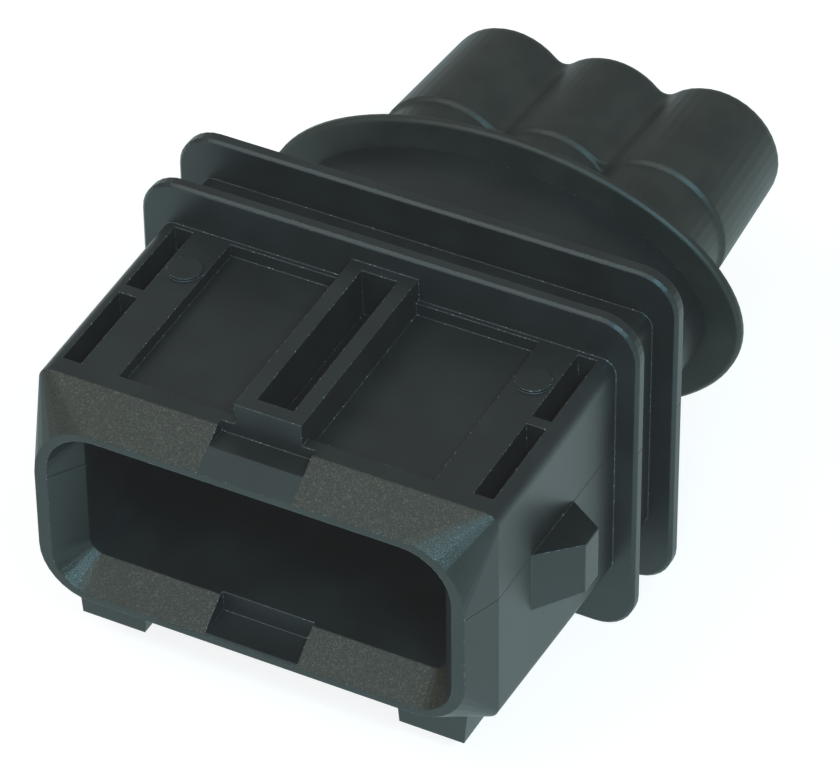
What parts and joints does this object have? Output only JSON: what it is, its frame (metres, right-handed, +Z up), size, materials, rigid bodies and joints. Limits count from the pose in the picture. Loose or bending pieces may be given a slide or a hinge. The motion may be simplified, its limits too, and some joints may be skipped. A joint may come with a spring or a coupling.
{
  "type": "sealed automotive connector",
  "caption": "Male half of a sealed rectangular wire connector: shrouded mouth, side hooks, latch frame, grooved mounting flange, and an oval-lipped boot with fused wire tubes.",
  "frame": {"origin": "centre of the mouth plane, at mid-height of the shroud", "axes": "+X across the mouth to the right seen from the front, +Y from the mouth back to the wire end, +Z up to the latch frame side"},
  "size_m": [0.0364, 0.0514, 0.0246],
  "materials": {
    "housing": "black glass-filled nylon, satin, fine spark texture on the front slopes",
    "boot": "black elastomer, matte",
    "terminal": "tin-plated, dull silver",
    "seal": "red-brown silicone, matte",
    "retainer": "black nylon, satin"
  },
  "bodies": {
    "root": {"housing": "housing", "rear_boot": "boot", "terminal_left": "terminal", "terminal_middle": "terminal", "terminal_right": "terminal", "seal_left": "seal", "seal_middle": "seal", "seal_right": "seal", "terminal_retainer": "retainer"}
  },
  "joints": []
}
